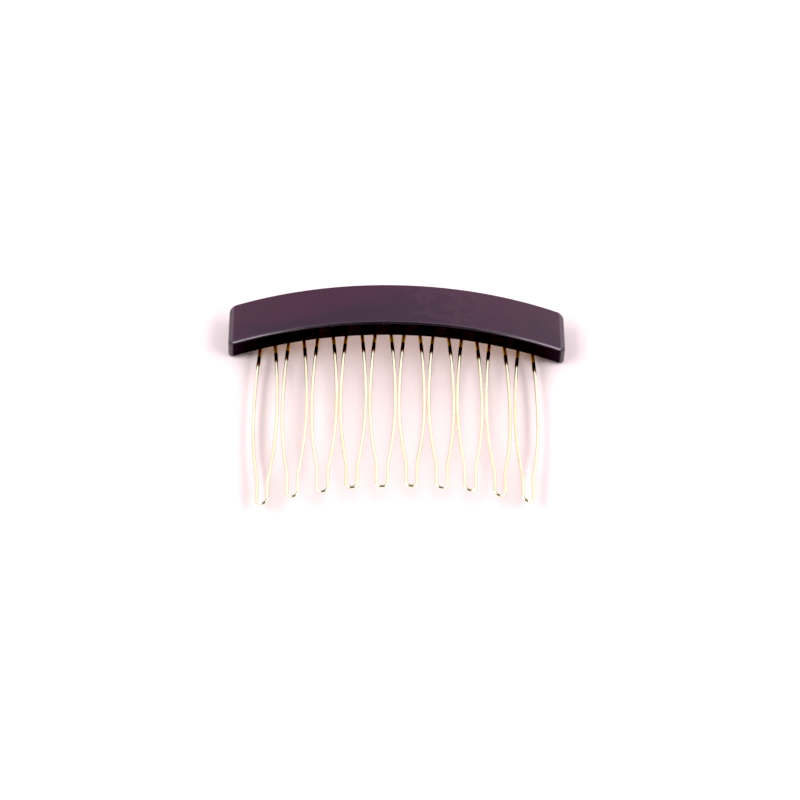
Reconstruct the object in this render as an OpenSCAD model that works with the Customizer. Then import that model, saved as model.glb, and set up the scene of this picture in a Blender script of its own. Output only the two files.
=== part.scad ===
// Decorative hair comb: a curved acetate bar with ten bowed wire tines crimped in a folded brass
// spine channel, which three small rivets hold into the back of the bar.
//
// The comb lies with its convex face up. X runs along the bar, +Y points from the tine tips to the
// crown edge of the bar, and Z = 0 is the surface that the bar's two ends rest on. Every curved
// piece is swept round one axis, parallel to Y, so that the comb follows the head.

/* [Bar] */
// Length of the bar, between its two upright end faces
bar_length = 82; // [78:0.5:96]
// Width of the bar, from its lower edge to its crown edge
bar_width = 12.8; // [11:0.1:18]
// Thickness of the acetate
bar_thickness = 4.8; // [4.4:0.1:6]
// Radius of the bar's outer face
bar_radius = 95; // [85:1:130]
// Radius of the polished round along the long edges
edge_round = 0.9; // [0.5:0.1:1.4]
// Bevel along the edges of the two ends
end_bevel = 0.8; // [0.3:0.1:1]
// Radius of the four corners, seen from above
corner_round = 1.8; // [1.2:0.1:4]

/* [Tines] */
// Wire diameter
wire_d = 0.9; // [0.7:0.05:1]
// Spacing of the tines round the wire's own arc
tine_pitch = 7; // [7:0.1:7.6]
// Distance from the bar's lower edge to the tine tips
tine_reach = 46; // [36:1:60]
// Width of a tine at its widest, between the centres of its legs
bow_width = 6; // [5:0.1:6]
// Distance from the tine tip to its widest place
bow_height = 26; // [20:1:32]
// Width of the narrow neck, between the centres of its legs
neck_width = 2.6; // [2:0.1:3]
// Distance from the tine tip to where its legs start to spread
neck_height = 6.6; // [4:0.1:9]
// Bend radius where the neck spreads into the bow
shoulder_round = 6; // [3:0.5:10]
// Width at the mouth of the spine channel, between the centres of the legs
root_width = 3.4; // [3:0.1:4.4]

/* [Spine channel] */
// Thickness of the brass strip
channel_wall = 0.4; // [0.3:0.05:0.5]
// Height of the channel, from its mouth to its folded edge
channel_height = 5.6; // [4.5:0.1:6.5]
// Distance from the bar's lower edge to the mouth of the channel
channel_setback = 2.8; // [2:0.1:4]
// Strip beyond the outer legs at each end
channel_overhang = 2.2; // [1.5:0.1:3.5]

/* [Rivets] */
// Shank diameter
rivet_d = 1; // [0.8:0.05:1.2]
// Head diameter
rivet_head_d = 2.2; // [1.8:0.1:2.4]
// Head height
rivet_head_h = 0.5; // [0.3:0.05:0.6]
// Depth of the blind hole, from the back of the bar
rivet_depth = 3.4; // [2.5:0.1:3.6]

/* [Hidden] */
$fn = 64;
TINES = 10;
TINE_NODES = [for (i = [1:TINES]) str("tine_", i < 10 ? "0" : "", i)];

FIT = 0.02;            // clearance round the wires and the rivet shanks
RECESS_GAP = 0.05;     // clearance round the channel in its recess
CUT = 1;               // how far a cutting solid runs past the face it cuts
CREASE = 0.02;         // how far the corner rounds stand off the faces that they meet
LAP = 0.05;            // each finer length of wire runs this far inside the next one
DRAW = 0.004;          // and is this much finer, so that the lengths join as one solid
RIVET_GAPS = 4;        // the outer rivets sit this many tine pitches from the middle

wire_r = wire_d / 2;
total_depth = bar_width + tine_reach;
crown_y = total_depth / 2;
lower_y = crown_y - bar_width;
tip_y = -total_depth / 2;

// Radii of the swept surfaces, measured from the common axis
back_radius = bar_radius - bar_thickness;
wire_radius = back_radius - wire_r - FIT;
rear_leaf_radius = wire_radius - wire_r - FIT;
channel_back_radius = rear_leaf_radius - channel_wall;

end_x = bar_length / 2;
bevel_x = end_x - end_bevel;
axis_z = -sqrt(back_radius * back_radius - bevel_x * bevel_x);
blank_half_angle = asin((end_x + CUT) / back_radius);

mouth_y = lower_y + channel_setback;
fold_y = mouth_y + channel_height;
fold_radius = (back_radius + channel_wall - channel_back_radius) / 2;
outer_leg_angle = degrees((TINES - 1) / 2 * tine_pitch + root_width / 2, wire_radius);
channel_half_angle = outer_leg_angle + degrees(channel_overhang, wire_radius);
rivet_angle = degrees(RIVET_GAPS * tine_pitch, wire_radius);
rivet_y = mouth_y + channel_height / 2;

// The wire inside a tine, in the tine's own plane: x across the tine, y from the tip to the root
neck_x = neck_width / 2;
bow_x = bow_width / 2;
mouth_height = mouth_y - tip_y;
spread = bow_x - neck_x;
rise = bow_height - neck_height;
lower_bow_radius = (spread * spread + rise * rise) / (2 * spread) - shoulder_round;
shoulder_angle = asin(rise / (lower_bow_radius + shoulder_round));
taper = bow_x - root_width / 2;
upper_rise = mouth_height - bow_height;
upper_bow_radius = (taper * taper + upper_rise * upper_rise) / (2 * taper);
root_angle = asin(upper_rise / upper_bow_radius);
root_length = channel_height - fold_radius - channel_wall;

// Angle of an arc of the given length, in degrees
function degrees(arc, radius) = arc / radius * 180 / PI;

// The point of a swept surface at the given x, as [x, z]
function on_surface(radius, x) = [x, axis_z + sqrt(radius * radius - x * x)];

// Sweeps a profile drawn in (radius, Y) round the common axis, to both sides of the middle
module arc_sweep(half_angle) {
    translate([0, 0, axis_z])
        rotate([90, 0, 0])
            rotate([0, 0, 90 - half_angle])
                rotate_extrude(angle = 2 * half_angle)
                    mirror([0, 1])
                        children();
}

// Places a piece round the common axis, with its own z pointing outwards
module on_arc(angle, radius) {
    translate([0, 0, axis_z])
        rotate([0, angle, 0])
            translate([0, 0, radius])
                children();
}

// Rectangle from one corner to the other, with four round corners
module rounded_rectangle(low, high, r) {
    translate([low[0] + r, low[1]])
        square([high[0] - low[0] - 2 * r, high[1] - low[1]]);
    translate([low[0], low[1] + r])
        square([high[0] - low[0], high[1] - low[1] - 2 * r]);
    for (x = [low[0] + r, high[0] - r])
        for (y = [low[1] + r, high[1] - r])
            translate([x, y])
                circle(r);
}

// Takes off what lies to the left of the way from one [x, z] point to another
module bevel_cut(from, to) {
    ahead = CUT * (to - from) / norm(to - from);
    left = [-ahead[1], ahead[0]];
    translate([0, crown_y + CUT, 0])
        rotate([90, 0, 0])
            linear_extrude(bar_width + 2 * CUT)
                polygon([from - ahead, to + ahead, to + ahead + left, from - ahead + left]);
}

// The swept bar, cut upright to its length
module bar_blank() {
    intersection() {
        arc_sweep(blank_half_angle)
            rounded_rectangle([back_radius, lower_y], [bar_radius, crown_y], edge_round);
        translate([-end_x, lower_y - CUT, -CUT])
            cube([bar_length, bar_width + 2 * CUT, axis_z + bar_radius + 2 * CUT]);
    }
}

// Rounds the two corners of the blank's +x end, and bevels both of its edges
module end_trim() {
    for (side = [0, 1])
        translate([end_x, crown_y - bar_width / 2, -CUT])
            mirror([0, side, 0])
                translate([0, bar_width / 2, 0])
                    linear_extrude(axis_z + bar_radius + 2 * CUT)
                        difference() {
                            translate([-corner_round, -corner_round])
                                square(corner_round + CUT);
                            translate([-corner_round, -corner_round])
                                circle(corner_round + CREASE);
                        }
    bevel_cut(on_surface(bar_radius, bevel_x), on_surface(bar_radius, end_x) - [0, end_bevel]);
    bevel_cut(on_surface(back_radius, end_x) + [0, end_bevel], on_surface(back_radius, bevel_x));
}

module bar() {
    color([0.16, 0.07, 0.14])
        difference() {
            bar_blank();
            for (side = [0, 1])
                mirror([side, 0, 0])
                    end_trim();
            arc_sweep(channel_half_angle + degrees(RECESS_GAP, back_radius))
                translate([back_radius - CUT, mouth_y - RECESS_GAP])
                    square([CUT + channel_wall + RECESS_GAP, channel_height + 2 * RECESS_GAP]);
            for (angle = [-rivet_angle, 0, rivet_angle])
                on_arc(angle, back_radius - CUT)
                    translate([0, rivet_y, 0])
                        cylinder(h = CUT + rivet_depth, r = rivet_d / 2 + FIT);
        }
}

// The folded strip's section: two leaves joined by a half ring at the crown side
module channel_section() {
    leaf_height = channel_height - fold_radius;
    translate([channel_back_radius, mouth_y])
        square([channel_wall, leaf_height]);
    translate([back_radius, mouth_y])
        square([channel_wall, leaf_height]);
    translate([channel_back_radius + fold_radius, mouth_y + leaf_height])
        difference() {
            circle(fold_radius);
            circle(fold_radius - channel_wall);
            translate([-fold_radius - CUT, -fold_radius - CUT])
                square([2 * (fold_radius + CUT), fold_radius + CUT]);
        }
}

module spine_channel() {
    color([0.83, 0.68, 0.36])
        difference() {
            arc_sweep(channel_half_angle)
                channel_section();
            for (angle = [-rivet_angle, 0, rivet_angle])
                on_arc(angle, channel_back_radius - CUT)
                    translate([0, rivet_y, 0])
                        cylinder(h = 2 * (CUT + fold_radius), r = rivet_d / 2 + FIT);
        }
}

// A flat-headed rivet: the head lies on the channel, and the shank ends in the bar's blind hole
module rivet(angle) {
    shank_length = back_radius + rivet_depth - channel_back_radius - FIT;
    color([0.86, 0.72, 0.42])
        on_arc(angle, channel_back_radius)
            translate([0, rivet_y, 0]) {
                cylinder(h = shank_length, r = rivet_d / 2);
                translate([0, 0, -rivet_head_h])
                    cylinder(h = rivet_head_h, r1 = rivet_head_d / 2 - rivet_head_h / 2, r2 = rivet_head_d / 2);
            }
}

// A length of wire bent round [0, 0], from one angle to another
module wire_arc(radius, from, to, r = wire_r) {
    rotate([0, 0, from])
        rotate_extrude(angle = to - from)
            translate([radius, 0])
                circle(r);
}

// A straight length of wire along +y
module wire_rod(length, r) {
    rotate([-90, 0, 0])
        cylinder(h = length, r = r);
}

// The +x half of a tine, from the end of the tip bend to the wire's end inside the channel.
// The neck, the lower bow and the root are the finer lengths, and lap inside their neighbours.
module leg() {
    fine_r = wire_r - DRAW;
    translate([neck_x, neck_x + wire_r - LAP, 0])
        wire_rod(neck_height - neck_x - wire_r + 2 * LAP, fine_r);
    translate([neck_x + shoulder_round, neck_height, 0])
        wire_arc(shoulder_round, 180 - shoulder_angle, 180);
    translate([bow_x - lower_bow_radius, bow_height, 0])
        wire_arc(
            lower_bow_radius,
            -shoulder_angle - degrees(LAP, lower_bow_radius),
            degrees(LAP, lower_bow_radius),
            fine_r
        );
    translate([bow_x - upper_bow_radius, bow_height, 0])
        wire_arc(upper_bow_radius, 0, root_angle);
    translate([root_width / 2, mouth_height, 0])
        rotate([0, 0, root_angle])
            translate([0, -LAP, 0])
                wire_rod(root_length + LAP, fine_r);
}

// A tine is one length of wire: the bend at the tip, two bowed legs and their straight roots
module tine(angle) {
    color([0.93, 0.82, 0.55])
        on_arc(angle, wire_radius)
            translate([0, tip_y, 0]) {
                translate([0, neck_x + wire_r, 0])
                    wire_arc(neck_x, 180, 360);
                for (side = [0, 1])
                    mirror([side, 0, 0])
                        leg();
            }
}

bar();
spine_channel();
rivet(-rivet_angle);  // rivet_left
rivet(0);  // rivet_centre
rivet(rivet_angle);  // rivet_right
for (i = [0:TINES - 1])
    tine(degrees((i - (TINES - 1) / 2) * tine_pitch, wire_radius));
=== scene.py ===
"""Looks of a decorative hair comb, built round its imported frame.

The comb is a curved acetate bar with ten bowed wire tines, whose ends are crimped in a folded
brass channel that three rivets hold in the back of the bar. Each sub-assembly is a class that
models its own pieces and dresses them in a finish. All sizes are in metres, in the frame of the
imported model: X runs along the bar, +Y points from the tine tips to the crown edge, and Z = 0 is
the surface that the bar's ends rest on.
"""

import logging
import math
from collections.abc import Callable, Iterator
from contextlib import contextmanager
from dataclasses import dataclass
from enum import Enum
from functools import cached_property

import bmesh
import bpy
from mathutils import Matrix, Vector


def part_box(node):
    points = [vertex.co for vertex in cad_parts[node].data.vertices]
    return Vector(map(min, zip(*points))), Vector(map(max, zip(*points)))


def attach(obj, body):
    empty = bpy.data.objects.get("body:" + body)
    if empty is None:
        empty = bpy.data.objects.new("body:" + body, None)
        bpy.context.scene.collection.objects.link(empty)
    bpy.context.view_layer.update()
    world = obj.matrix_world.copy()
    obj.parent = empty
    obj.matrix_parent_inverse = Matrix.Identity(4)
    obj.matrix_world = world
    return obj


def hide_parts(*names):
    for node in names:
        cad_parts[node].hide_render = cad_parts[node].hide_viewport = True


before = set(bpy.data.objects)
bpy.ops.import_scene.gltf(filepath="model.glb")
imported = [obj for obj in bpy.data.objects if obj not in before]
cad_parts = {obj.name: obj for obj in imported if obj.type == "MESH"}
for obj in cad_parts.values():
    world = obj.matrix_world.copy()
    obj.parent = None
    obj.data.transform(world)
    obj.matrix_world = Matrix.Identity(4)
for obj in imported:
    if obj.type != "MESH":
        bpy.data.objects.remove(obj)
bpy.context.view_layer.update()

LOG = logging.getLogger("hair_comb")
BODY = "root"
MM = 0.001
NEAR = 1e-6

Colour = tuple[float, float, float]


# ---------------------------------------------------------------------------------------------
# Modelling helpers


def deselect_all() -> None:
    """Deselects every object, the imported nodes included."""
    bpy.ops.object.select_all(action="DESELECT")


def activate(piece: bpy.types.Object) -> None:
    """Makes a piece the only selected object, and the active one.

    Args:
        piece: The object that the next operators act on.
    """
    deselect_all()
    piece.select_set(True)
    bpy.context.view_layer.objects.active = piece


@contextmanager
def editing(piece: bpy.types.Object, pick: str = "VERT") -> Iterator[None]:
    """Opens a piece in edit mode with nothing selected, and leaves edit mode at the end.

    Args:
        piece: The mesh object to edit.
        pick: What selection works on: VERT, EDGE or FACE.

    Yields:
        Nothing: the caller runs its operators inside the with block.
    """
    activate(piece)
    bpy.ops.object.mode_set(mode="EDIT")
    bpy.ops.mesh.select_mode(type=pick)
    bpy.ops.mesh.select_all(action="DESELECT")
    try:
        yield
    finally:
        bpy.ops.object.mode_set(mode="OBJECT")


def select_edges(piece: bpy.types.Object, wanted: Callable[[Vector, Vector], bool]) -> int:
    """Selects the edges of a piece in edit mode by the places of their two ends.

    Args:
        piece: The mesh object in edit mode.
        wanted: Says whether an edge between these two points is selected.

    Returns:
        How many edges are now selected.
    """
    mesh = bmesh.from_edit_mesh(piece.data)
    count = 0
    for edge in mesh.edges:
        hit = wanted(edge.verts[0].co, edge.verts[1].co)
        edge.select_set(hit)
        count += hit
    bmesh.update_edit_mesh(piece.data)
    return count


def select_faces(piece: bpy.types.Object, wanted: Callable[[Vector, Vector], bool]) -> int:
    """Selects the faces of a piece in edit mode by their centre and normal.

    Args:
        piece: The mesh object in edit mode.
        wanted: Says whether a face with this centre and this normal is selected.

    Returns:
        How many faces are now selected.
    """
    mesh = bmesh.from_edit_mesh(piece.data)
    mesh.normal_update()
    hits = [face for face in mesh.faces if wanted(face.calc_center_median(), face.normal)]
    for face in hits:
        face.select_set(True)
    bmesh.update_edit_mesh(piece.data)
    return len(hits)


def add_block(name: str, low: Vector, high: Vector) -> bpy.types.Object:
    """Adds a block between two corners, with its place in its mesh.

    Args:
        name: The object's name.
        low: Lowest corner.
        high: Highest corner.

    Returns:
        The new object.
    """
    deselect_all()
    bpy.ops.mesh.primitive_cube_add(size=1, location=(low + high) / 2)
    block = bpy.context.object
    block.name = name
    block.scale = high - low
    bpy.ops.object.transform_apply(location=True, rotation=True, scale=True)
    return block


def add_rod(
    name: str,
    foot: Vector,
    length: float,
    radius: float,
    turn: Matrix,
    sides: int,
) -> bpy.types.Object:
    """Adds a straight rod, with its place in its mesh.

    Args:
        name: The object's name.
        foot: Centre of the rod's first end.
        length: Distance between its ends.
        radius: Its radius.
        turn: Rotation that takes +Z to the rod's own direction.
        sides: Number of sides.

    Returns:
        The new object.
    """
    deselect_all()
    middle = (0, 0, length / 2)
    bpy.ops.mesh.primitive_cylinder_add(vertices=sides, radius=radius, depth=length, location=middle)
    rod = bpy.context.object
    rod.name = name
    bpy.ops.object.transform_apply(location=True, rotation=True, scale=True)
    rod.data.transform(Matrix.Translation(foot) @ turn)
    return rod


def apply_modifier(piece: bpy.types.Object, kind: str, **settings: object) -> None:
    """Adds a modifier to a piece, sets it up and applies it.

    Args:
        piece: The mesh object.
        kind: The modifier's type, such as BEVEL.
        **settings: The modifier's own settings by name.
    """
    activate(piece)
    modifier = piece.modifiers.new(kind.lower(), kind)
    for key, value in settings.items():
        setattr(modifier, key, value)
    bpy.ops.object.modifier_apply(modifier=modifier.name)


def cut_away(piece: bpy.types.Object, cutter: bpy.types.Object) -> None:
    """Cuts one solid out of another and removes the cutter.

    Args:
        piece: The solid that stays.
        cutter: The solid that is taken out of it.
    """
    apply_modifier(piece, "BOOLEAN", operation="DIFFERENCE", object=cutter, solver="EXACT")
    bpy.data.objects.remove(cutter)


def smooth(piece: bpy.types.Object, angle: float = math.radians(35)) -> None:
    """Shades a piece smooth, keeps its sharp edges, and weights its normals by face area.

    Args:
        piece: The mesh object.
        angle: Edges sharper than this stay sharp.
    """
    activate(piece)
    bpy.ops.object.shade_smooth_by_angle(angle=angle)
    apply_modifier(piece, "WEIGHTED_NORMAL", keep_sharp=True, weight=100)


# ---------------------------------------------------------------------------------------------
# The comb's own geometry


@dataclass(frozen=True)
class HeadCurve:
    """The arc that the comb follows round the head, about an axis parallel to Y.

    Pieces that follow it are modelled flat and then bent. In the flat state x is the length along
    the bar's front face, y is the depth behind that face, and z is the comb's own Y.
    """

    radius: float = 95 * MM
    slices: int = 112

    @cached_property
    def axis_height(self) -> float:
        """Height of the arc's axis above the floor."""
        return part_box("bar")[1].z - self.radius

    def upright(self, angle: float, radius: float) -> Matrix:
        """Gives the place of a rigid piece on the arc, with its own z pointing outwards.

        Args:
            angle: Where it stands, from the middle of the bar.
            radius: Its distance from the axis.

        Returns:
            The matrix that takes the piece there.
        """
        lift = Matrix.Translation((0, 0, self.axis_height))
        return lift @ Matrix.Rotation(angle, 4, "Y") @ Matrix.Translation((0, 0, radius))

    def angle_of(self, node: str) -> float:
        """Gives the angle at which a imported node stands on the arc.

        Args:
            node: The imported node's name.

        Returns:
            Its angle from the middle of the bar.
        """
        points = [vertex.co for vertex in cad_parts[node].data.vertices]
        centre = sum(points, Vector()) / len(points)
        return math.atan2(centre.x, centre.z - self.axis_height)

    def bend(self, piece: bpy.types.Object, sliced: bool = False) -> None:
        """Slices a flat piece crosswise, bends it to the arc and stands it in its place.

        Args:
            piece: A piece in the flat state.
            sliced: Whether it is sliced finely enough already.
        """
        xs = [corner[0] for corner in piece.bound_box]
        start, length = min(xs), max(xs) - min(xs)
        if not sliced:
            with editing(piece):
                for i in range(1, self.slices):
                    bpy.ops.mesh.select_all(action="SELECT")
                    at = start + length * i / self.slices
                    bpy.ops.mesh.bisect(plane_co=(at, 0, 0), plane_no=(1, 0, 0))
        apply_modifier(
            piece,
            "SIMPLE_DEFORM",
            deform_method="BEND",
            deform_axis="Z",
            angle=length / self.radius,
        )
        stand = Matrix.Rotation(-math.pi / 2, 4, "X")
        piece.data.transform(Matrix.Translation((0, 0, self.axis_height + self.radius)) @ stand)


@dataclass(frozen=True)
class Layout:
    """Places that several sub-assemblies share, in the comb's frame."""

    curve: HeadCurve = HeadCurve()
    bar_thickness: float = 4.8 * MM
    sheet: float = 0.4 * MM
    wire_radius: float = 0.45 * MM
    fit: float = 0.02 * MM
    channel_setback: float = 2.8 * MM
    channel_height: float = 5.6 * MM
    end_x: float = 41 * MM
    tines: int = 10

    @cached_property
    def lower_y(self) -> float:
        """The bar's lower edge."""
        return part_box("bar")[0].y

    @cached_property
    def crown_y(self) -> float:
        """The bar's crown edge."""
        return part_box("bar")[1].y

    @cached_property
    def mouth_y(self) -> float:
        """The open edge of the spine channel."""
        return self.lower_y + self.channel_setback

    @cached_property
    def back_radius(self) -> float:
        """Radius of the bar's back."""
        return self.curve.radius - self.bar_thickness

    @cached_property
    def wire_arc(self) -> float:
        """Radius of the arc through the wires' centres."""
        return self.back_radius - self.wire_radius - self.fit

    @cached_property
    def channel_back(self) -> float:
        """Radius of the channel's rear face."""
        return self.wire_arc - self.wire_radius - self.fit - self.sheet

    @cached_property
    def tine_nodes(self) -> list[str]:
        """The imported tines' names, from -X to +X."""
        return [f"tine_{i:02d}" for i in range(1, self.tines + 1)]


@dataclass(frozen=True)
class TineShape:
    """The bends of one tine, in its own plane: x across it, y from the tip to the root."""

    neck: float = 1.3 * MM
    neck_height: float = 6.6 * MM
    shoulder: float = 6 * MM
    bow: float = 2.98 * MM
    bow_height: float = 26 * MM
    root: float = 1.7 * MM
    root_length: float = 4.33 * MM


@dataclass(frozen=True)
class TineSet:
    """How far hand work leaves one tine from the pattern."""

    longer: float = 0
    lean: float = 0
    shift: float = 0


SET_BY_HAND = tuple(
    TineSet(longer * MM, lean * MM, shift * MM)
    for longer, lean, shift in (
        (1.50, -0.26, -0.50),
        (1.00, -0.12, -0.25),
        (0.65, -0.20, 0.00),
        (0.13, -0.35, 0.00),
        (0.10, -0.30, 0.00),
        (-0.16, -0.50, 0.00),
        (-0.23, -0.35, 0.00),
        (-0.42, -0.60, 0.00),
        (-0.32, -0.40, 0.00),
        (-0.49, -0.80, 0.45),
    )
)


# ---------------------------------------------------------------------------------------------
# Shader building


class ShaderTree:
    """A small wrapper round a node tree that adds nodes and links them by name."""

    def __init__(self, tree: bpy.types.NodeTree) -> None:
        """Starts with an empty tree.

        Args:
            tree: The node tree to fill.
        """
        self.tree = tree
        tree.nodes.clear()

    def node(self, kind: str, label: str = "", **settings: object) -> bpy.types.Node:
        """Adds a node.

        Args:
            kind: The node's type name, without its ShaderNode prefix.
            label: What the node is for.
            **settings: The node's own properties by name.

        Returns:
            The new node.
        """
        prefix = "" if kind.startswith("NodeGroup") else "ShaderNode"
        new = self.tree.nodes.new(prefix + kind)
        new.label = label
        for key, value in settings.items():
            setattr(new, key, value)
        return new

    def feed(self, target: bpy.types.NodeSocket, source: object) -> None:
        """Links a socket to another, or sets its value.

        Args:
            target: The input socket.
            source: An output socket to link, or the value to set.
        """
        if isinstance(source, bpy.types.NodeSocket):
            self.tree.links.new(source, target)
        else:
            target.default_value = source

    def math(
        self,
        operation: str,
        first: object,
        second: object = 0.0,
        clamp: bool = False,
    ) -> bpy.types.NodeSocket:
        """Adds a Math node.

        Args:
            operation: What it does, such as MULTIPLY.
            first: Its first input, a socket or a value.
            second: Its second input, a socket or a value.
            clamp: Whether the result is kept between 0 and 1.

        Returns:
            The result's socket.
        """
        new = self.node("Math", operation=operation, use_clamp=clamp)
        self.feed(new.inputs[0], first)
        self.feed(new.inputs[1], second)
        return new.outputs[0]

    def ramp(
        self,
        value: object,
        low: float,
        high: float,
        to_low: float = 0.0,
        to_high: float = 1.0,
    ) -> bpy.types.NodeSocket:
        """Adds a Map Range node with a smooth step.

        Args:
            value: Its input, a socket or a value.
            low: The input that gives to_low.
            high: The input that gives to_high.
            to_low: The result at low.
            to_high: The result at high.

        Returns:
            The result's socket.
        """
        new = self.node("MapRange", interpolation_type="SMOOTHSTEP")
        for index, item in enumerate((value, low, high, to_low, to_high)):
            self.feed(new.inputs[index], item)
        return new.outputs[0]

    def mix(self, factor: object, first: object, second: object) -> bpy.types.NodeSocket:
        """Mixes two colours.

        Args:
            factor: How much of the second colour shows.
            first: A colour or a socket.
            second: A colour or a socket.

        Returns:
            The mixed colour's socket.
        """
        new = self.node("Mix", data_type="RGBA")
        self.feed(new.inputs[0], factor)
        self.feed(new.inputs[6], rgba(first))
        self.feed(new.inputs[7], rgba(second))
        return new.outputs[2]

    def place(self, stretch: Colour, turn: Colour = (0, 0, 0)) -> bpy.types.NodeSocket:
        """Gives the object's own coordinates, stretched and turned.

        Args:
            stretch: Scale along each axis.
            turn: Rotation about each axis, in radians.

        Returns:
            The coordinates' socket.
        """
        where = self.node("TexCoord")
        new = self.node("Mapping")
        self.feed(new.inputs["Vector"], where.outputs["Object"])
        self.feed(new.inputs["Scale"], stretch)
        self.feed(new.inputs["Rotation"], turn)
        return new.outputs[0]

    def here(self) -> bpy.types.NodeSocket:
        """Gives the object's own coordinates as they are."""
        return self.place((1, 1, 1))

    def along(self, axis: str) -> bpy.types.NodeSocket:
        """Gives one of the object's own coordinates.

        Args:
            axis: X, Y or Z.

        Returns:
            The coordinate's socket, in metres.
        """
        split = self.node("SeparateXYZ")
        self.feed(split.inputs[0], self.here())
        return split.outputs[axis]

    def noise(
        self,
        where: object,
        scale: object,
        detail: float = 4,
        roughness: float = 0.5,
        distortion: float = 0,
    ) -> bpy.types.NodeSocket:
        """Adds a noise texture.

        Args:
            where: The coordinates' socket.
            scale: How many features lie on a metre, as a number or a socket.
            detail: Octaves of finer noise.
            roughness: How strong the finer octaves are.
            distortion: How far the noise is warped.

        Returns:
            The noise value's socket.
        """
        new = self.node("TexNoise")
        for name, item in (
            ("Vector", where),
            ("Scale", scale),
            ("Detail", detail),
            ("Roughness", roughness),
            ("Distortion", distortion),
        ):
            self.feed(new.inputs[name], item)
        return new.outputs[0]


def rgba(colour: object) -> object:
    """Adds alpha to a plain colour, and leaves a socket as it is."""
    return (*colour, 1.0) if isinstance(colour, tuple) and len(colour) == 3 else colour


class EffectGroup:
    """A shader node group that several materials place with their own values."""

    def __init__(self, name: str, inputs: dict[str, float], outputs: list[str]) -> None:
        """Makes the group and its sockets.

        Args:
            name: The group's name.
            inputs: Each input's name and default value.
            outputs: The outputs' names.
        """
        self.group = bpy.data.node_groups.new(name, "ShaderNodeTree")
        for title, value in inputs.items():
            made = self.group.interface.new_socket(title, in_out="INPUT", socket_type="NodeSocketFloat")
            made.default_value = value
        for title in outputs:
            self.group.interface.new_socket(title, in_out="OUTPUT", socket_type="NodeSocketFloat")
        self.shader = ShaderTree(self.group)
        self.entry = self.shader.node("NodeGroupInput")
        self.exit = self.shader.node("NodeGroupOutput")

    def place_in(self, shader: ShaderTree, **values: float) -> bpy.types.Node:
        """Places the group in a material.

        Args:
            shader: The material's tree.
            **values: Values for the group's inputs, by name with underscores for spaces.

        Returns:
            The group node.
        """
        new = shader.node("Group")
        new.node_tree = self.group
        for key, value in values.items():
            shader.feed(new.inputs[key.replace("_", " ")], value)
        return new


# ---------------------------------------------------------------------------------------------
# Finishes


class Polish(Enum):
    """How brightly a surface is finished, as the roughness away from its buffed rounds and painted reflection
    bands.
    """

    GLASSY = 0.07
    BRIGHT = 0.09
    SATIN = 0.28


def make_handling_wear() -> EffectGroup:
    """Builds the wear that every finish here shares: fine hairlines and duller, handled areas.

    Returns:
        The group. Its outputs are the roughness and the height of the hairlines.
    """
    inputs = {"Roughness": 0.1, "Dulling": 0.1, "Hairlines": 0.1, "Hairline Scale": 900.0}
    effect = EffectGroup("handling_wear", inputs, ["Roughness", "Height"])
    shader, given = effect.shader, effect.entry.outputs
    patches = shader.ramp(shader.noise(shader.here(), 70, 3, 0.6), 0.42, 0.68)
    lines = None
    for tilt in (0.35, -0.6):
        across = shader.place((0.05, 1, 1), (0, 0, tilt))
        streaks = shader.noise(across, given["Hairline Scale"], 2, 0.5)
        thin = shader.ramp(streaks, 0.62, 0.72)
        lines = thin if lines is None else shader.math("MAXIMUM", lines, thin)
    gaps = shader.ramp(shader.noise(shader.here(), 160, 2), 0.5, 0.6)
    broken = shader.math("MULTIPLY", lines, gaps)
    scratched = shader.math("MULTIPLY", broken, given["Hairlines"])
    dulled = shader.math("MULTIPLY", patches, given["Dulling"])
    rough = shader.math("ADD", given["Roughness"], shader.math("ADD", scratched, dulled), clamp=True)
    shader.feed(effect.exit.inputs["Roughness"], rough)
    shader.feed(effect.exit.inputs["Height"], shader.math("MULTIPLY", scratched, -1.0))
    return effect


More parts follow.
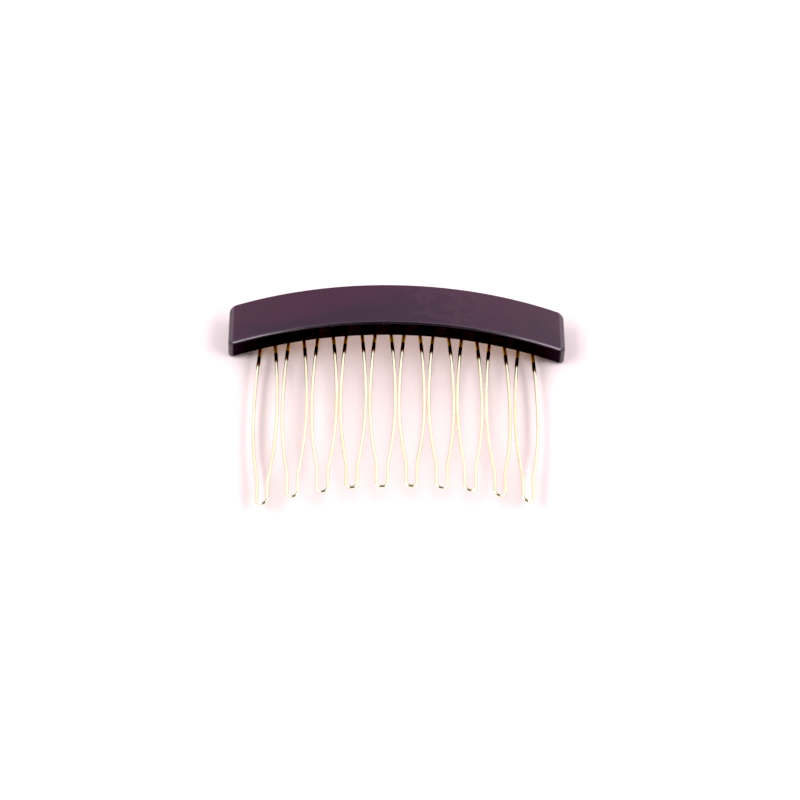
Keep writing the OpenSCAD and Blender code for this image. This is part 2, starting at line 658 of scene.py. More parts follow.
@dataclass(frozen=True)
class AcetateFinish:
    """Polished laminated acetate: a clouded aubergine sheet on a black core.

    The sheet shows on the front face. The sawn sides are duller than the face, and the rounds that
    the buffing wheel reaches are shinier.
    """

    wear: EffectGroup
    layout: Layout
    slot: str = "acetate"
    deep: Colour = (0.031, 0.016, 0.030)
    cloud: Colour = (0.048, 0.017, 0.035)
    wisp: Colour = (0.064, 0.028, 0.046)
    fleck: Colour = (0.22, 0.17, 0.20)
    core: Colour = (0.017, 0.017, 0.018)
    sheen: Colour = (1.0, 0.86, 0.97)
    sheet_start: float = 0.035 * MM
    sheet_full: float = 0.010 * MM
    rise_gain: float = 0.12
    end_gain: float = 0.10
    wisps_from: float = 0 * MM
    wisps_to: float = 24 * MM
    fleck_scale: float = 330
    round_depth: float = 0.4 * MM
    round_width: float = 0.75 * MM
    corner: float = 1.5 * MM
    sawn_shine: float = 0.12
    face_shine: float = 0.5
    round_shine: float = 1.0
    round_roughness: float = 0.25
    hairline_scale: float = 1500
    refraction: float = 1.49
    polish: Polish = Polish.GLASSY

    def material(self) -> bpy.types.Material:
        """Builds the material.

        Returns:
            The finished material.
        """
        made = bpy.data.materials.new("polished_acetate")
        made.use_nodes = True
        shader = ShaderTree(made.node_tree)
        reach = self.reach(shader)
        radius = self.layout.curve.radius
        sheet = shader.ramp(reach, radius - self.sheet_start, radius - self.sheet_full)
        colour = shader.mix(sheet, self.core, self.flecked(shader, self.veined(shader, self.clouded(shader))))
        buffed = self.buffed(shader, reach)
        worn = self.wear.place_in(shader, Dulling=0.05, Hairlines=0.12, Hairline_Scale=self.hairline_scale)
        roughness = shader.ramp(buffed, 0, 1, self.polish.value, self.round_roughness)
        shader.feed(worn.inputs["Roughness"], roughness)
        bump = shader.node("Bump")
        shader.feed(bump.inputs["Strength"], 0.12)
        shader.feed(bump.inputs["Distance"], 0.02 * MM)
        shader.feed(bump.inputs["Height"], worn.outputs["Height"])
        body = shader.node("BsdfPrincipled")
        shader.feed(body.inputs["Base Color"], colour)
        shader.feed(body.inputs["Roughness"], worn.outputs["Roughness"])
        shader.feed(body.inputs["Normal"], bump.outputs[0])
        sides = shader.ramp(buffed, 0, 1, self.sawn_shine, self.round_shine)
        shine = shader.ramp(sheet, 0, 1, 0, self.face_shine - self.sawn_shine)
        shader.feed(body.inputs["Specular IOR Level"], shader.math("ADD", sides, shine))
        body.inputs["Specular Tint"].default_value = rgba(self.sheen)
        body.inputs["IOR"].default_value = self.refraction
        shader.feed(shader.node("OutputMaterial").inputs["Surface"], body.outputs[0])
        return made

    def clouded(self, shader: ShaderTree) -> bpy.types.NodeSocket:
        """Colours the sheet with a cloud that thickens towards the crown and the ends.

        Args:
            shader: The material's tree.

        Returns:
            The colour's socket.
        """
        drift = shader.noise(shader.place((0.45, 1, 1)), 62, 5, 0.55, 0.8)
        low, high = self.layout.lower_y, self.layout.crown_y
        upward = shader.ramp(shader.along("Y"), low, high, -self.rise_gain, self.rise_gain)
        aside = shader.math("ABSOLUTE", shader.along("X"))
        outward = shader.ramp(aside, 8 * MM, 34 * MM, -self.end_gain, self.end_gain)
        thick = shader.math("ADD", drift, shader.math("ADD", upward, outward))
        return shader.mix(shader.ramp(thick, 0.40, 0.66), self.deep, self.cloud)

    def veined(self, shader: ShaderTree, under: object) -> bpy.types.NodeSocket:
        """Adds thin wisps over one stretch of the sheet.

        Args:
            shader: The material's tree.
            under: The colour's socket without them.

        Returns:
            The colour's socket.
        """
        veins = shader.noise(shader.place((0.7, 1.2, 1), (0, 0, 0.5)), 170, 3, 0.5, 0.9)
        ridge = shader.math("ABSOLUTE", shader.math("SUBTRACT", veins, 0.5))
        wisps = shader.ramp(ridge, 0.0, 0.10, 0.45, 0.0)
        place = shader.along("X")
        region = shader.math(
            "MULTIPLY",
            shader.ramp(place, self.wisps_from, self.wisps_from + 5 * MM),
            shader.ramp(place, self.wisps_to - 8 * MM, self.wisps_to, 1.0, 0.0),
        )
        return shader.mix(shader.math("MULTIPLY", wisps, region), under, self.wisp)

    def flecked(self, shader: ShaderTree, under: object) -> bpy.types.NodeSocket:
        """Adds pale flecks.

        Args:
            shader: The material's tree.
            under: The colour's socket without them.

        Returns:
            The colour's socket.
        """
        cells = shader.node("TexVoronoi", "flecks")
        shader.feed(cells.inputs["Vector"], shader.here())
        shader.feed(cells.inputs["Scale"], self.fleck_scale)
        chosen = shader.ramp(cells.outputs["Color"], 0.80, 0.84)
        small = shader.ramp(cells.outputs["Distance"], 0.03, 0.06, 1.0, 0.0)
        return shader.mix(shader.math("MULTIPLY", small, chosen), under, self.fleck)

    def reach(self, shader: ShaderTree) -> bpy.types.NodeSocket:
        """Measures how far each point is from the axis of the arc.

        Args:
            shader: The material's tree.

        Returns:
            The distance's socket, in metres.
        """
        across = shader.along("X")
        above = shader.math("SUBTRACT", shader.along("Z"), self.layout.curve.axis_height)
        squares = (shader.math("MULTIPLY", side, side) for side in (across, above))
        return shader.math("SQRT", shader.math("ADD", *squares))

    def buffed(self, shader: ShaderTree, reach: object) -> bpy.types.NodeSocket:
        """Finds the lower round and the corners, which the buffing wheel leaves shinier.

        Args:
            shader: The material's tree.
            reach: Distance from the axis of the arc.

        Returns:
            A mask that is 1 on the buffed rounds.
        """
        foot = self.layout.curve.radius - self.round_depth
        edge = self.layout.lower_y + self.round_width
        lower = shader.math(
            "MULTIPLY",
            shader.ramp(reach, foot - 0.1 * MM, foot + 0.1 * MM),
            shader.ramp(shader.along("Y"), edge - 0.1 * MM, edge + 0.1 * MM, 1.0, 0.0),
        )
        across = shader.math("ABSOLUTE", shader.along("X"))
        end = self.layout.end_x
        ends = shader.ramp(across, end - self.corner, end - self.corner / 2)
        return shader.math("MAXIMUM", lower, ends)


@dataclass(frozen=True)
class PlatedFinish:
    """Gold plating over brass, with the lines that drawing or rolling leaves in the metal.

    Near the bar the plating is painted golden brown, a painted reflection of the gold channel and
    the shaded floor under the bar, and a band nearer the tips is painted dark, a painted reflection
    of the bar's black side.
    """

    wear: EffectGroup
    name: str
    slot: str
    bright: Colour
    warm: Colour
    polish: Polish
    grain: Colour = (1, 1, 1)
    grain_scale: float = 2500
    grain_depth: float = 0.1
    # Painted reflections near the bar: golden brown for the gold channel and the shaded floor under the bar,
    # dark for the bar's black side.
    painted_reflection: Colour = (0.66, 0.39, 0.12)
    painted_reflection_start: float = 14.3 * MM
    painted_reflection_full: float = 15.2 * MM
    painted_dark_reflection: Colour = (0.15, 0.085, 0.045)
    painted_dark_reflection_start: float = 11.4 * MM
    painted_dark_reflection_full: float = 12.4 * MM
    painted_reflection_roughness: float = 0.32
    hairline_scale: float = 1200

    def material(self) -> bpy.types.Material:
        """Builds the material.

        Returns:
            The finished material.
        """
        made = bpy.data.materials.new(self.name)
        made.use_nodes = True
        shader = ShaderTree(made.node_tree)
        patches = shader.ramp(shader.noise(shader.place((1, 0.5, 1)), 120, 4, 0.6, 0.5), 0.4, 0.7)
        colour = shader.mix(patches, self.bright, self.warm)
        place = shader.along("Y")
        # Painted reflection: a dark band towards the bar, standing for the bar's black side mirrored in the
        # wire.
        dark_reflection_painted = shader.ramp(place, self.painted_dark_reflection_start, self.painted_dark_reflection_full)
        colour = shader.mix(dark_reflection_painted, colour, self.painted_dark_reflection)
        # Painted reflection: golden brown nearest the bar, standing for the gold channel and the shaded floor
        # under it, and rougher there.
        reflection_painted = shader.ramp(place, self.painted_reflection_start, self.painted_reflection_full)
        colour = shader.mix(reflection_painted, colour, self.painted_reflection)
        worn = self.wear.place_in(shader, Dulling=0.08, Hairlines=0.15, Hairline_Scale=self.hairline_scale)
        roughness = shader.ramp(reflection_painted, 0, 1, self.polish.value, self.painted_reflection_roughness)
        shader.feed(worn.inputs["Roughness"], roughness)
        lines = shader.noise(shader.place(self.grain), self.grain_scale, 3, 0.6)
        grain = shader.math("MULTIPLY", lines, self.grain_depth)
        height = shader.math("ADD", grain, worn.outputs["Height"])
        bump = shader.node("Bump")
        shader.feed(bump.inputs["Strength"], 0.15)
        shader.feed(bump.inputs["Distance"], 0.02 * MM)
        shader.feed(bump.inputs["Height"], height)
        body = shader.node("BsdfPrincipled")
        shader.feed(body.inputs["Base Color"], colour)
        shader.feed(body.inputs["Roughness"], worn.outputs["Roughness"])
        shader.feed(body.inputs["Normal"], bump.outputs[0])
        body.inputs["Metallic"].default_value = 1.0
        shader.feed(shader.node("OutputMaterial").inputs["Surface"], body.outputs[0])
        return made


def fit_out(
    piece: bpy.types.Object,
    node: str,
    paint: bpy.types.Material,
) -> None:
    """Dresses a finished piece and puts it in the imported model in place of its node.

    Args:
        piece: The finished mesh object.
        node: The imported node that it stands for.
        paint: The finish's material.
    """
    piece.data.materials.clear()
    piece.data.materials.append(paint)
    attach(piece, BODY)
    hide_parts(node)
    LOG.info("%s stands for %s: %d faces", piece.name, node, len(piece.data.polygons))


# ---------------------------------------------------------------------------------------------
# The acetate bar


@dataclass
class AcetateBar:
    """The curved bar across the top of the comb."""

    layout: Layout
    finish: AcetateFinish
    corner_round: float = 1.7 * MM
    front_round: float = 0.7 * MM
    back_round: float = 0.9 * MM
    recess_gap: float = 0.05 * MM
    rivet_hole: float = 0.52 * MM
    rivet_depth: float = 3.4 * MM

    def build(self) -> bpy.types.Object:
        """Models the bar, with the recess and the blind holes in its back, and dresses it.

        Returns:
            The finished bar.
        """
        bar = self.round_off(self.blank())
        self.cut_recess(bar)
        self.drill(bar)
        self.layout.curve.bend(bar)
        smooth(bar)
        fit_out(bar, "bar", self.finish.material())
        return bar

    def blank(self) -> bpy.types.Object:
        """Adds the flat blank, with sloping ends that stand upright once it is bent.

        Returns:
            The blank.
        """
        back = self.layout.bar_thickness
        front_half, back_half = self.flat_half(0), self.flat_half(back)
        low = Vector((-front_half, 0, self.layout.lower_y))
        high = Vector((front_half, back, self.layout.crown_y))
        bar = add_block("acetate_bar", low, high)
        for side in (-1, 1):
            with editing(bar, "EDGE"):
                select_edges(bar, lambda a, b: min(a.y, b.y) > back / 2 and min(a.x * side, b.x * side) > 0)
                bpy.ops.transform.translate(value=(side * (back_half - front_half), 0, 0))
        return bar

    def flat_half(self, depth: float) -> float:
        """Gives how far from the middle of the flat blank its upright end lies.

        Args:
            depth: Depth behind the front face.

        Returns:
            The distance along the front face's arc.
        """
        radius = self.layout.curve.radius
        return radius * math.asin(self.layout.end_x / (radius - depth))

    def round_off(self, bar: bpy.types.Object) -> bpy.types.Object:
        """Rounds the four corners, then every edge round the front and the back.

        Args:
            bar: The flat blank.

        Returns:
            The same object, rounded.
        """
        back = self.layout.bar_thickness
        with editing(bar, "EDGE"):
            select_edges(bar, lambda a, b: abs(a.y - b.y) > back / 2)
            bpy.ops.mesh.bevel(offset=self.corner_round, segments=14, affect="EDGES")
            bpy.ops.mesh.select_all(action="DESELECT")
            select_edges(bar, lambda a, b: abs(a.y) < NEAR and abs(b.y) < NEAR)
            bpy.ops.mesh.bevel(offset=self.front_round, segments=8, affect="EDGES")
            bpy.ops.mesh.select_all(action="DESELECT")
            select_edges(bar, lambda a, b: abs(a.y - back) < NEAR and abs(b.y - back) < NEAR)
            bpy.ops.mesh.bevel(offset=self.back_round, segments=6, affect="EDGES")
        return bar

    def cut_recess(self, bar: bpy.types.Object) -> None:
        """Cuts the shallow recess that the channel's front leaf lies in.

        Args:
            bar: The flat bar.
        """
        lay = self.layout
        half = lay.curve.radius * channel_half_angle(lay) + self.recess_gap
        low = Vector((-half, lay.bar_thickness - lay.sheet - self.recess_gap, lay.mouth_y - self.recess_gap))
        high = Vector((half, 2 * lay.bar_thickness, lay.mouth_y + lay.channel_height + self.recess_gap))
        cut_away(bar, add_block("recess_cutter", low, high))

    def drill(self, bar: bpy.types.Object) -> None:
        """Drills the blind holes for the rivets.

        Args:
            bar: The flat bar.
        """
        lay = self.layout
        turn = Matrix.Rotation(math.pi / 2, 4, "X")
        for node in RivetSet.nodes:
            low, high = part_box(node)
            x = lay.curve.angle_of(node) * lay.curve.radius
            foot = Vector((x, 2 * lay.bar_thickness, (low.y + high.y) / 2))
            depth = lay.bar_thickness + self.rivet_depth
            cut_away(bar, add_rod("drill", foot, depth, self.rivet_hole, turn, 32))


def channel_half_angle(layout: Layout) -> float:
    """Gives half the angle that the spine channel spans, from its packed size."""
    return math.asin(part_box("spine_channel")[1].x / (layout.back_radius + layout.sheet))


# ---------------------------------------------------------------------------------------------
# The spine channel and its rivets


@dataclass
class SpineChannel:
    """The folded strip of brass that grips the wire ends."""

    layout: Layout
    finish: PlatedFinish
    edge: float = 0.06 * MM
    crimp_depth: float = 0.2 * MM
    rib_flat: float = 0.55 * MM
    rib_foot: float = 1.3 * MM
    pitch_along: float = 0.3 * MM
    pitch_across: float = 0.35 * MM
    fold_steps: int = 12

    def build(self) -> bpy.types.Object:
        """Folds the strip, crimps its rear leaf between the wires, bends it and dresses it.

        Returns:
            The finished channel.
        """
        channel = self.fold()
        self.slice_up(channel)
        self.crimp(channel)
        self.layout.curve.bend(channel, sliced=True)
        smooth(channel, math.radians(50))
        fit_out(channel, "spine_channel", self.finish.material())
        return channel

    def fold(self) -> bpy.types.Object:
        """Models the flat leaf, folds it over and brings the rear leaf down.

        Returns:
            The folded strip in the flat state.
        """
        lay = self.layout
        half = lay.curve.radius * channel_half_angle(lay)
        front = lay.bar_thickness - lay.sheet
        rear = lay.curve.radius - lay.channel_back
        radius = (rear - front) / 2
        leaf = lay.channel_height - radius
        low = Vector((-half, front, lay.mouth_y))
        high = Vector((half, lay.bar_thickness, lay.mouth_y + leaf))
        channel = add_block("spine_strip", low, high)
        with editing(channel, "FACE"):
            select_faces(channel, lambda centre, normal: normal.z > 0.9)
            bpy.ops.mesh.spin(
                steps=self.fold_steps,
                angle=math.pi,
                center=(0, front + radius, lay.mouth_y + leaf),
                axis=(1, 0, 0),
            )
            bpy.ops.mesh.extrude_region_move(TRANSFORM_OT_translate={"value": (0, 0, -leaf)})
        return channel

    def crimp(self, channel: bpy.types.Object) -> None:
        """Presses the rear leaf in between the wires.

        Args:
            channel: The folded strip in the flat state.
        """
        lay = self.layout
        rear = lay.curve.radius - lay.channel_back
        top = lay.mouth_y + lay.channel_height
        wires = self.wire_places()
        rivets = [lay.curve.angle_of(node) * lay.curve.radius for node in RivetSet.nodes]
        group = channel.vertex_groups.new(name="crimped")
        for vertex in channel.data.vertices:
            x, y, z = vertex.co
            if y < rear - lay.sheet - NEAR:
                continue
            valley = ease(min(abs(x - w) for w in wires), self.rib_flat, self.rib_foot)
            ends = ease(z - lay.mouth_y, 0.3 * MM, 1.1 * MM) * ease(top - z, 1.0 * MM, 2.2 * MM)
            clear = ease(min(abs(x - r) for r in rivets), 1.3 * MM, 2.0 * MM)
            group.add([vertex.index], valley * ends * clear, "REPLACE")
        apply_modifier(
            channel,
            "DISPLACE",
            direction="Y",
            strength=-self.crimp_depth,
            mid_level=0,
            vertex_group=group.name,
        )

    def slice_up(self, channel: bpy.types.Object) -> None:
        """Breaks the strip's edges and divides it finely enough for the crimps.

        Args:
            channel: The folded strip in the flat state.
        """
        lay = self.layout
        sharp = {"limit_method": "ANGLE", "angle_limit": math.radians(60)}
        apply_modifier(channel, "BEVEL", width=self.edge, segments=2, **sharp)
        length = channel.dimensions.x
        with editing(channel, "EDGE"):
            select_edges(channel, lambda a, b: abs(a.z - b.z) > lay.channel_height / 2)
            bpy.ops.mesh.subdivide(number_cuts=round(lay.channel_height / self.pitch_across))
            bpy.ops.mesh.select_all(action="DESELECT")
            select_edges(channel, lambda a, b: abs(a.x - b.x) > length / 2)
            bpy.ops.mesh.subdivide(number_cuts=round(length / self.pitch_along))

    def wire_places(self) -> list[float]:
        """Gives where the wires enter the channel, along the flat strip.

        Returns:
            Their distances from the middle.
        """
        lay = self.layout
        step = math.asin(TineShape.root / lay.wire_arc)
        angles = [lay.curve.angle_of(node) for node in lay.tine_nodes]
        return [(angle + side * step) * lay.curve.radius for angle in angles for side in (-1, 1)]


def ease(value: float, low: float, high: float) -> float:
    """Rises smoothly from 0 at low to 1 at high."""
    t = min(max((value - low) / (high - low), 0.0), 1.0)
    return t * t * (3 - 2 * t)


@dataclass
class RivetSet:
    """The three rivets that hold the channel in the bar."""

    layout: Layout
    finish: PlatedFinish
    head_radius: float = 1.1 * MM
    head_height: float = 0.5 * MM
    shank_radius: float = 0.5 * MM
    dome: float = 0.34 * MM
    dimple: float = 0.42 * MM
    sides: int = 40
    nodes = ("rivet_left", "rivet_centre", "rivet_right")

    def build(self) -> list[bpy.types.Object]:
        """Models one rivet, copies it to its three places and dresses the copies.

        Returns:
            The finished rivets.
        """
        pattern = self.turn_one()
        paint = self.finish.material()
        made = []
        for node in self.nodes:
            rivet = pattern.copy()
            rivet.data = pattern.data.copy()
            rivet.name = node.replace("rivet", "set_rivet")
            bpy.context.scene.collection.objects.link(rivet)
            low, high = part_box(node)
            place = self.layout.curve.upright(self.layout.curve.angle_of(node), self.layout.channel_back)
            rivet.data.transform(Matrix.Translation((0, (low.y + high.y) / 2, 0)) @ place)
            fit_out(rivet, node, paint)
            made.append(rivet)
        bpy.data.objects.remove(pattern)
        return made

    def turn_one(self) -> bpy.types.Object:
        """Models a rivet at the origin: a domed head below the shank.

        Returns:
            The rivet.
        """
        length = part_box("rivet_centre")[1].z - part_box("rivet_centre")[0].z - self.head_height
        foot = Vector((0, 0, -self.head_height))
        upright = Matrix.Identity(4)
        rivet = add_rod("rivet_pattern", foot, self.head_height, self.head_radius, upright, self.sides)
        low = -self.head_height
        with editing(rivet, "EDGE"):
            select_edges(rivet, lambda a, b: abs(a.z - low) < NEAR and abs(b.z - low) < NEAR)
            bpy.ops.mesh.bevel(offset=self.dome, segments=6, affect="EDGES")
            bpy.ops.mesh.select_mode(type="FACE")
            bpy.ops.mesh.select_all(action="DESELECT")
            select_faces(rivet, lambda centre, normal: normal.z > 0.99 and abs(centre.z) < NEAR)
            bpy.ops.mesh.inset(thickness=self.head_radius - self.shank_radius)
            bpy.ops.mesh.extrude_region_move(TRANSFORM_OT_translate={"value": (0, 0, length)})
            bpy.ops.mesh.select_all(action="DESELECT")
            select_faces(rivet, lambda centre, normal: normal.z < -0.99 and abs(centre.z - low) < NEAR)
            bpy.ops.mesh.inset(thickness=self.head_radius - self.dome - self.dimple, depth=0)
            bpy.ops.mesh.inset(thickness=0.1 * MM, depth=-0.08 * MM)
        smooth(rivet, math.radians(40))
        return rivet


# ---------------------------------------------------------------------------------------------
# The tines


class WireBender:
    """Feeds and bends one length of round wire in the plane z = 0, as a bending jig does."""

    def __init__(self, name: str, start: Vector, heading: float, radius: float, sides: int) -> None:
        """Cuts the wire's first end.

        Args:
            name: The object's name.
            start: Centre of the first end.
            heading: The direction in which the wire leaves it, from +X, in radians.
            radius: The wire's radius.
            sides: Number of sides of its section.
        """
        deselect_all()
        bpy.ops.mesh.primitive_circle_add(vertices=sides, radius=radius, fill_type="NOTHING")
        self.wire = bpy.context.object
        self.wire.name = name
        self.at = start.copy()
        self.heading = heading
        face = Matrix.Rotation(heading, 4, "Z") @ Matrix.Rotation(math.pi / 2, 4, "Y")
        self.wire.data.transform(Matrix.Translation(start) @ face)
        activate(self.wire)
        bpy.ops.object.mode_set(mode="EDIT")
        bpy.ops.mesh.select_mode(type="EDGE")
        bpy.ops.mesh.select_all(action="SELECT")

    def forward(self) -> Vector:
        """Gives the direction in which the wire now points."""
        return Vector((math.cos(self.heading), math.sin(self.heading), 0))

    def feed(self, length: float) -> None:
        """Runs the wire straight on.

        Args:
            length: How far.
        """
        step = self.forward() * length
        bpy.ops.mesh.extrude_region_move(TRANSFORM_OT_translate={"value": step})
        self.at += step

    def turn(self, radius: float, angle: float, steps: int) -> None:
        """Bends the wire round a former.

        Args:
            radius: Distance from the former's centre to the wire's centre.
            angle: How far it turns: to its left if positive, to its right if negative.
            steps: Number of rings along the bend.
        """
        side = math.copysign(1, angle)
        left = Vector((-math.sin(self.heading), math.cos(self.heading), 0))
        centre = self.at + left * radius * side
        bpy.ops.mesh.spin(steps=steps, angle=abs(angle), center=centre, axis=(0, 0, -side))
        self.at = centre + Matrix.Rotation(angle, 3, "Z") @ (self.at - centre)
        self.heading += angle

    def finish(self) -> bpy.types.Object:
        """Closes both ends and leaves the wire as a finished mesh.

        Returns:
            The bent wire.
        """
        bpy.ops.mesh.select_all(action="SELECT")
        bpy.ops.mesh.remove_doubles(threshold=NEAR)
        bpy.ops.mesh.fill_holes(sides=0)
        bpy.ops.mesh.normals_make_consistent(inside=False)
        bpy.ops.object.mode_set(mode="OBJECT")
        return self.wire


@dataclass
class TineRow:
    """The ten bowed loops of wire."""

    layout: Layout
    finish: PlatedFinish
    shape: TineShape = TineShape()
    settings: tuple[TineSet, ...] = (TineSet(),) * 10
    sides: int = 24

    def build(self) -> list[bpy.types.Object]:
        """Bends, places and dresses every tine.

        Returns:
            The finished tines.
        """
        paint = self.finish.material()
        made = []
        for node, hand in zip(self.layout.tine_nodes, self.settings, strict=True):
            tine = self.bend_one(node.replace("tine", "wire_tine"), hand)
            tine.data.transform(self.place(node, hand))
            smooth(tine, math.radians(60))
            fit_out(tine, node, paint)
            made.append(tine)
        return made

    def height(self, hand: TineSet) -> float:
        """Gives the distance from a tine's tip to the mouth of the channel."""
        return self.layout.mouth_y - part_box("tine_05")[0].y + hand.longer

    def place(self, node: str, hand: TineSet) -> Matrix:
        """Gives where a tine stands on the arc.

        Args:
            node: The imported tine's name.
            hand: How far it is off the pattern.

        Returns:
            The matrix from the tine's own plane to the comb.
        """
        angle = self.layout.curve.angle_of(node) + hand.shift / self.layout.wire_arc
        stand = self.layout.curve.upright(angle, self.layout.wire_arc)
        reach = self.height(hand)
        lean = Matrix.Rotation(math.atan(hand.lean / reach), 4, "Z")
        root = Matrix.Translation((0, self.layout.mouth_y, 0))
        return stand @ root @ lean @ Matrix.Translation((0, -reach, 0))

    def bend_one(self, name: str, hand: TineSet) -> bpy.types.Object:
        """Bends one tine from a straight length of wire.

        Args:
            name: The object's name.
            hand: How far it is off the pattern.

        Returns:
            The tine in its own plane, with its tip at the origin.
        """
        shape, reach = self.shape, self.height(hand)
        bow = shape.bow
        bow_height = shape.bow_height + hand.longer / 2
        spread, rise = bow - shape.neck, bow_height - shape.neck_height
        lower = (spread**2 + rise**2) / (2 * spread) - shape.shoulder
        sweep = math.asin(rise / (lower + shape.shoulder))
        taper, run = bow - shape.root, reach - bow_height
        upper = (taper**2 + run**2) / (2 * taper)
        close = math.asin(run / upper)
        neck = shape.neck_height - shape.neck - self.layout.wire_radius
        start_x = shape.root - shape.root_length * math.sin(close)
        start_y = reach + shape.root_length * math.cos(close)
        start = Vector((start_x, start_y, 0))
        jig = WireBender(name, start, -math.pi / 2 + close, self.layout.wire_radius, self.sides)
        jig.feed(shape.root_length)
        jig.turn(upper, -close, 10)
        jig.turn(lower, -sweep, 10)
        jig.turn(shape.shoulder, sweep, 5)
        jig.feed(neck)
        jig.turn(shape.neck, -math.pi, 22)
        jig.feed(neck)
        jig.turn(shape.shoulder, sweep, 5)
        jig.turn(lower, -sweep, 10)
        jig.turn(upper, -close, 10)
        jig.feed(shape.root_length)
        return jig.finish()


# ---------------------------------------------------------------------------------------------
# Studio


@dataclass(frozen=True)
class Softbox:
    """A large, even light."""

    name: str
    centre: tuple[float, float, float]
    width: float
    depth: float
    power: float
    tint: Colour = (1, 1, 1)

    def hang(self, target: Vector) -> None:
        """Adds the light and points it at the comb.

        Args:
            target: The point that it faces.
        """
        lamp = bpy.data.lights.new(self.name, "AREA")
        lamp.shape = "RECTANGLE"
        lamp.size, lamp.size_y = self.width, self.depth
        lamp.energy = self.power
        lamp.color = self.tint
        light = bpy.data.objects.new(self.name, lamp)
        bpy.context.scene.collection.objects.link(light)
        light.location = self.centre
        light.rotation_euler = (target - light.location).to_track_quat("-Z", "Y").to_euler()
        light.visible_camera = False
        LOG.info("%s hung at %s", self.name, self.centre)


@dataclass(frozen=True)
class Camera:
    """A long lens that looks down on the comb from in front of its tine tips."""

    elevation: float = math.radians(48)
    swing: float = math.radians(2.5)
    roll: float = math.radians(-3.1)
    distance: float = 672 * MM
    lens: float = 125.1
    apex_right: float = -1.6 / 2781
    apex_up: float = 96.5 / 2781

    def set_up(self, target: Vector) -> None:
        """Adds the camera and makes it the scene's own.

        Args:
            target: The point of the comb that the distance is measured to.
        """
        turn = Matrix.Rotation(-self.swing, 3, "Z")
        ahead = turn @ Vector((0, math.cos(self.elevation), -math.sin(self.elevation)))
        flat_right = turn @ Vector((1, 0, 0))
        flat_up = flat_right.cross(ahead)
        right = math.cos(self.roll) * flat_right - math.sin(self.roll) * flat_up
        up = math.sin(self.roll) * flat_right + math.cos(self.roll) * flat_up
        place = target - ahead * self.distance
        view = (ahead - self.apex_right * right - self.apex_up * up).normalized()
        right = view.cross(up).normalized()
        up = right.cross(view)
        data = bpy.data.cameras.new("camera")
        data.lens = self.lens
        data.clip_start, data.clip_end = 0.01, 20
        camera = bpy.data.objects.new("camera", data)
        bpy.context.scene.collection.objects.link(camera)
        camera.matrix_world = Matrix(
            (
                (right.x, up.x, -view.x, place.x),
                (right.y, up.y, -view.y, place.y),
                (right.z, up.z, -view.z, place.z),
                (0, 0, 0, 1),
            )
        )
        bpy.context.scene.camera = camera


@dataclass(frozen=True)
class Surround:
    """The studio beyond the lights: a pale backdrop behind the comb, and a dim room elsewhere."""

    tint: Colour = (1.0, 0.97, 0.99)
    room: float = 0.20
    backdrop: float = 0.92
    horizon: float = 0.2
    right_gain: float = 1.25

    def wrap(self) -> None:
        """Builds the world."""
        world = bpy.data.worlds.new("studio")
        world.use_nodes = True
        shader = ShaderTree(world.node_tree)
        split = shader.node("SeparateXYZ")
        shader.feed(split.inputs[0], shader.node("TexCoord").outputs["Generated"])
        across, ahead, up = (split.outputs[axis] for axis in "XYZ")
        behind = shader.ramp(ahead, 0.10, 0.45)
        low = shader.ramp(up, 0.80, 0.92, 1.0, 0.0)
        haze = shader.ramp(up, 0.0, 0.32, self.horizon, 1.0)
        gain = shader.ramp(across, -0.3, 0.6, self.backdrop, self.backdrop * self.right_gain)
        where = shader.math("MULTIPLY", behind, low)
        panel = shader.math("MULTIPLY", where, shader.math("MULTIPLY", haze, gain))
        glow = shader.node("Background")
        shader.feed(glow.inputs["Color"], rgba(self.tint))
        shader.feed(glow.inputs["Strength"], shader.math("ADD", panel, self.room))
        shader.feed(shader.node("OutputWorld").inputs["Surface"], glow.outputs[0])
        bpy.context.scene.world = world


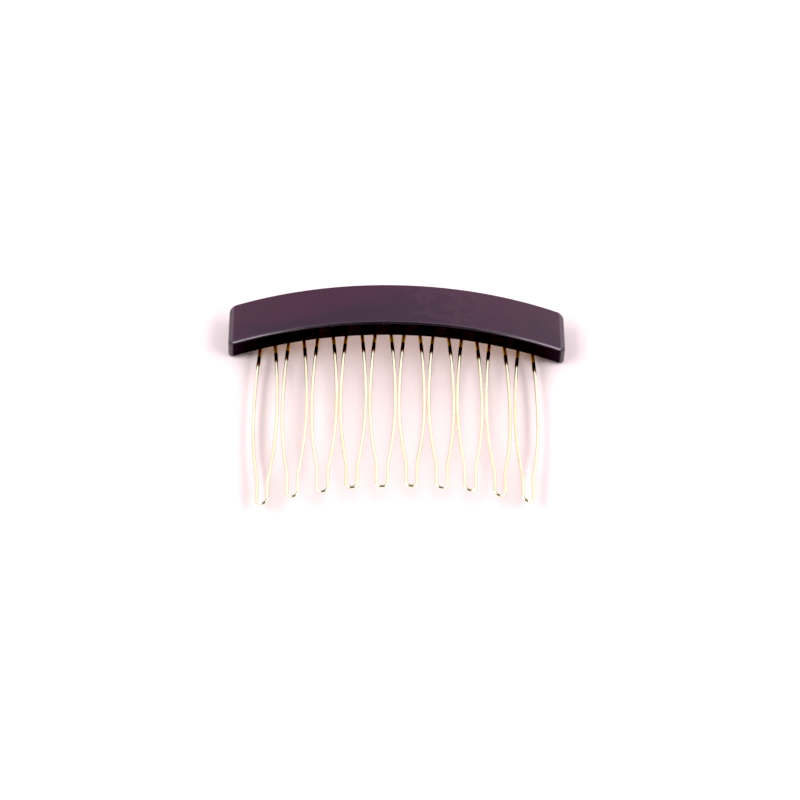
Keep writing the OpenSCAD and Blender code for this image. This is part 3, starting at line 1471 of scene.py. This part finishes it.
@dataclass
class Studio:
    """The pale floor, the soft lights and the camera."""

    target: Vector
    floor_size: float = 6.0
    floor_colour: Colour = (0.93, 0.80, 0.83)
    floor_mottle: Colour = (0.95, 0.83, 0.86)
    black_level: float = 0.028

    def build(self) -> None:
        """Lays the floor, hangs the lights and sets up the camera."""
        self.lay_floor()
        Surround().wrap()
        for box in (
            Softbox("left_softbox", (-1.15, -0.30, 1.02), 1.4, 0.8, 21),
            Softbox("right_softbox", (1.20, -0.30, 0.95), 1.4, 0.8, 21),
        ):
            box.hang(self.target)
        Camera().set_up(self.target)
        self.develop()

    def lay_floor(self) -> None:
        """Adds the floor, which isn't part of the comb."""
        deselect_all()
        bpy.ops.mesh.primitive_plane_add(size=self.floor_size)
        floor = bpy.context.object
        floor.name = "floor"
        paint = bpy.data.materials.new("floor_card")
        paint.use_nodes = True
        shader = ShaderTree(paint.node_tree)
        mottle = shader.noise(shader.place((1, 1, 1)), 9, 3)
        pale = shader.mix(shader.ramp(mottle, 0.3, 0.7, 0.0, 0.5), self.floor_colour, self.floor_mottle)
        body = shader.node("BsdfPrincipled")
        shader.feed(body.inputs["Base Color"], pale)
        body.inputs["Roughness"].default_value = 0.8
        body.inputs["Specular IOR Level"].default_value = 0.2
        shader.feed(shader.node("OutputMaterial").inputs["Surface"], body.outputs[0])
        floor.data.materials.append(paint)

    def develop(self) -> None:
        """Sets how the picture is developed: true colours, with a faint veil taken off the blacks."""
        settings = bpy.context.scene.view_settings
        settings.view_transform = "Standard"
        settings.use_curve_mapping = True
        settings.curve_mapping.black_level = (self.black_level,) * 3
        settings.curve_mapping.update()


# ---------------------------------------------------------------------------------------------
# The whole comb


def main() -> None:
    """Builds the comb's sub-assemblies in order, then the studio."""
    logging.basicConfig(level=logging.INFO, format="%(name)s: %(message)s")
    layout = Layout()
    wear = make_handling_wear()
    gold = (0.97, 0.91, 0.74)
    straw = (0.94, 0.85, 0.64)
    AcetateBar(layout, AcetateFinish(wear, layout)).build()
    # The channel and the rivets get no painted reflection bands: their bands start a metre away.
    no_painted_reflections = {"painted_reflection_start": 1.0, "painted_reflection_full": 2.0, "painted_dark_reflection_start": 1.0, "painted_dark_reflection_full": 2.0}
    strip = PlatedFinish(
        wear,
        name="rolled_strip",
        slot="channel_brass",
        bright=(0.88, 0.72, 0.40),
        warm=(0.80, 0.61, 0.30),
        polish=Polish.SATIN,
        grain=(0.06, 1, 1),
        **no_painted_reflections,
    )
    SpineChannel(layout, strip).build()
    stud = PlatedFinish(
        wear,
        name="rivet_plating",
        slot="rivet_brass",
        bright=(0.93, 0.78, 0.46),
        warm=straw,
        polish=Polish.BRIGHT,
        **no_painted_reflections,
    )
    RivetSet(layout, stud).build()
    drawn = PlatedFinish(
        wear,
        name="drawn_wire",
        slot="tine_wire",
        bright=gold,
        warm=straw,
        polish=Polish.BRIGHT,
        grain=(1, 0.04, 1),
    )
    TineRow(layout, drawn, settings=SET_BY_HAND).build()
    apex = Vector((0, (layout.lower_y + layout.crown_y) / 2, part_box("bar")[1].z))
    Studio(apex).build()


if __name__ == "__main__":
    main()
